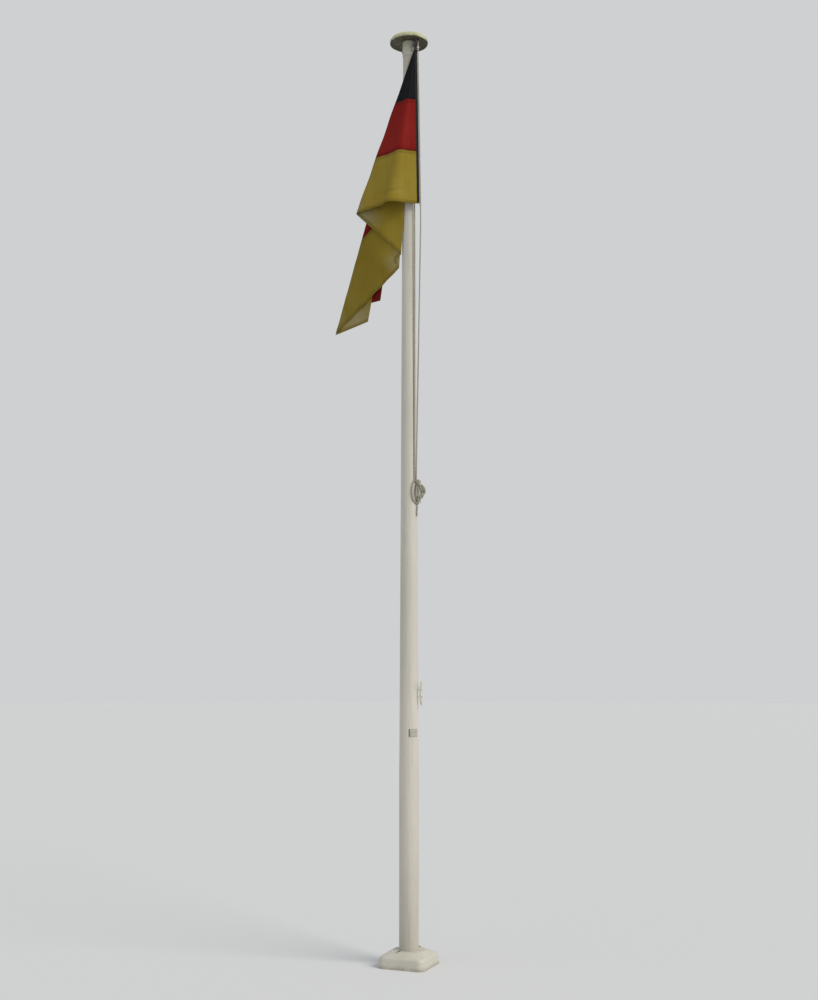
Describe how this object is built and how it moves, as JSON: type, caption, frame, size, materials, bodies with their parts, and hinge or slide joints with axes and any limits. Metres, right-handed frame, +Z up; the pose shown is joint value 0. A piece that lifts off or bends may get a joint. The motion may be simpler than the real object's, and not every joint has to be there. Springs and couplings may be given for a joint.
{
  "type": "flagpole",
  "caption": "Tapered white flagpole with a domed cap over a halyard pulley, rope cleats, a split square cover at the foot and a striped flag that hangs slack.",
  "frame": {"origin": "middle of the ground plate's underside, on the pole's axis", "axes": "+Z up along the pole; +X towards the side the cleats stand on; the cover's seam lies in the YZ plane"},
  "size_m": [0.6393, 0.2895, 5.627],
  "materials": {
    "zinc_steel": "dull galvanised",
    "cover_white": "weathered, slightly yellowed",
    "pole_white": "chalked gel coat, low gloss",
    "label_metal": "worn, blank",
    "cleat_white": "moulded, low gloss",
    "stainless": "satin",
    "rope": "braided, slightly soiled",
    "sleeve_white": "moulded, weathered",
    "cap_under": "stained dark",
    "cap_top": "weathered with a green tint",
    "sheave_plastic": "moulded",
    "ring_steel": "satin",
    "bead_white": "moulded",
    "heading_black": "woven tape",
    "cloth_black": "thin woven cloth",
    "cloth_red": "thin woven cloth",
    "cloth_gold": "thin woven cloth"
  },
  "bodies": {
    "mast": {"base_plate": "zinc_steel", "base_spigot": "zinc_steel", "spigot_bolt": "zinc_steel", "cover_screws": "zinc_steel", "cover_left": "cover_white", "cover_right": "cover_white", "pole": "pole_white", "label_plate": "label_metal", "lower_cleat": "cleat_white", "upper_cleat": "cleat_white", "lower_cleat_screws": "stainless", "upper_cleat_screws": "stainless", "cleat_turns": "rope", "halyard_tail": "rope", "halyard": "rope", "truck_sleeve": "sleeve_white", "truck_screws": "stainless", "cap_plate": "cap_under", "cap_dome": "cap_top", "cap_bolt": "zinc_steel", "pulley_bracket": "stainless", "bracket_screws": "stainless", "sheave_pin": "stainless", "top_ring": "ring_steel", "bottom_ring": "ring_steel", "top_stopper": "bead_white", "bottom_stopper": "bead_white", "flag_heading": "heading_black", "flag_black": "cloth_black", "flag_red": "cloth_red", "flag_gold": "cloth_gold"},
    "sheave": {"sheave": "sheave_plastic"}
  },
  "joints": [
    {"name": "sheave_spin", "type": "hinge", "parent": "mast", "child": "sheave", "pos_m": [0.06235, -0.036, 5.54], "axis": [-0.5, -0.866, 0], "continuous": true}
  ]
}
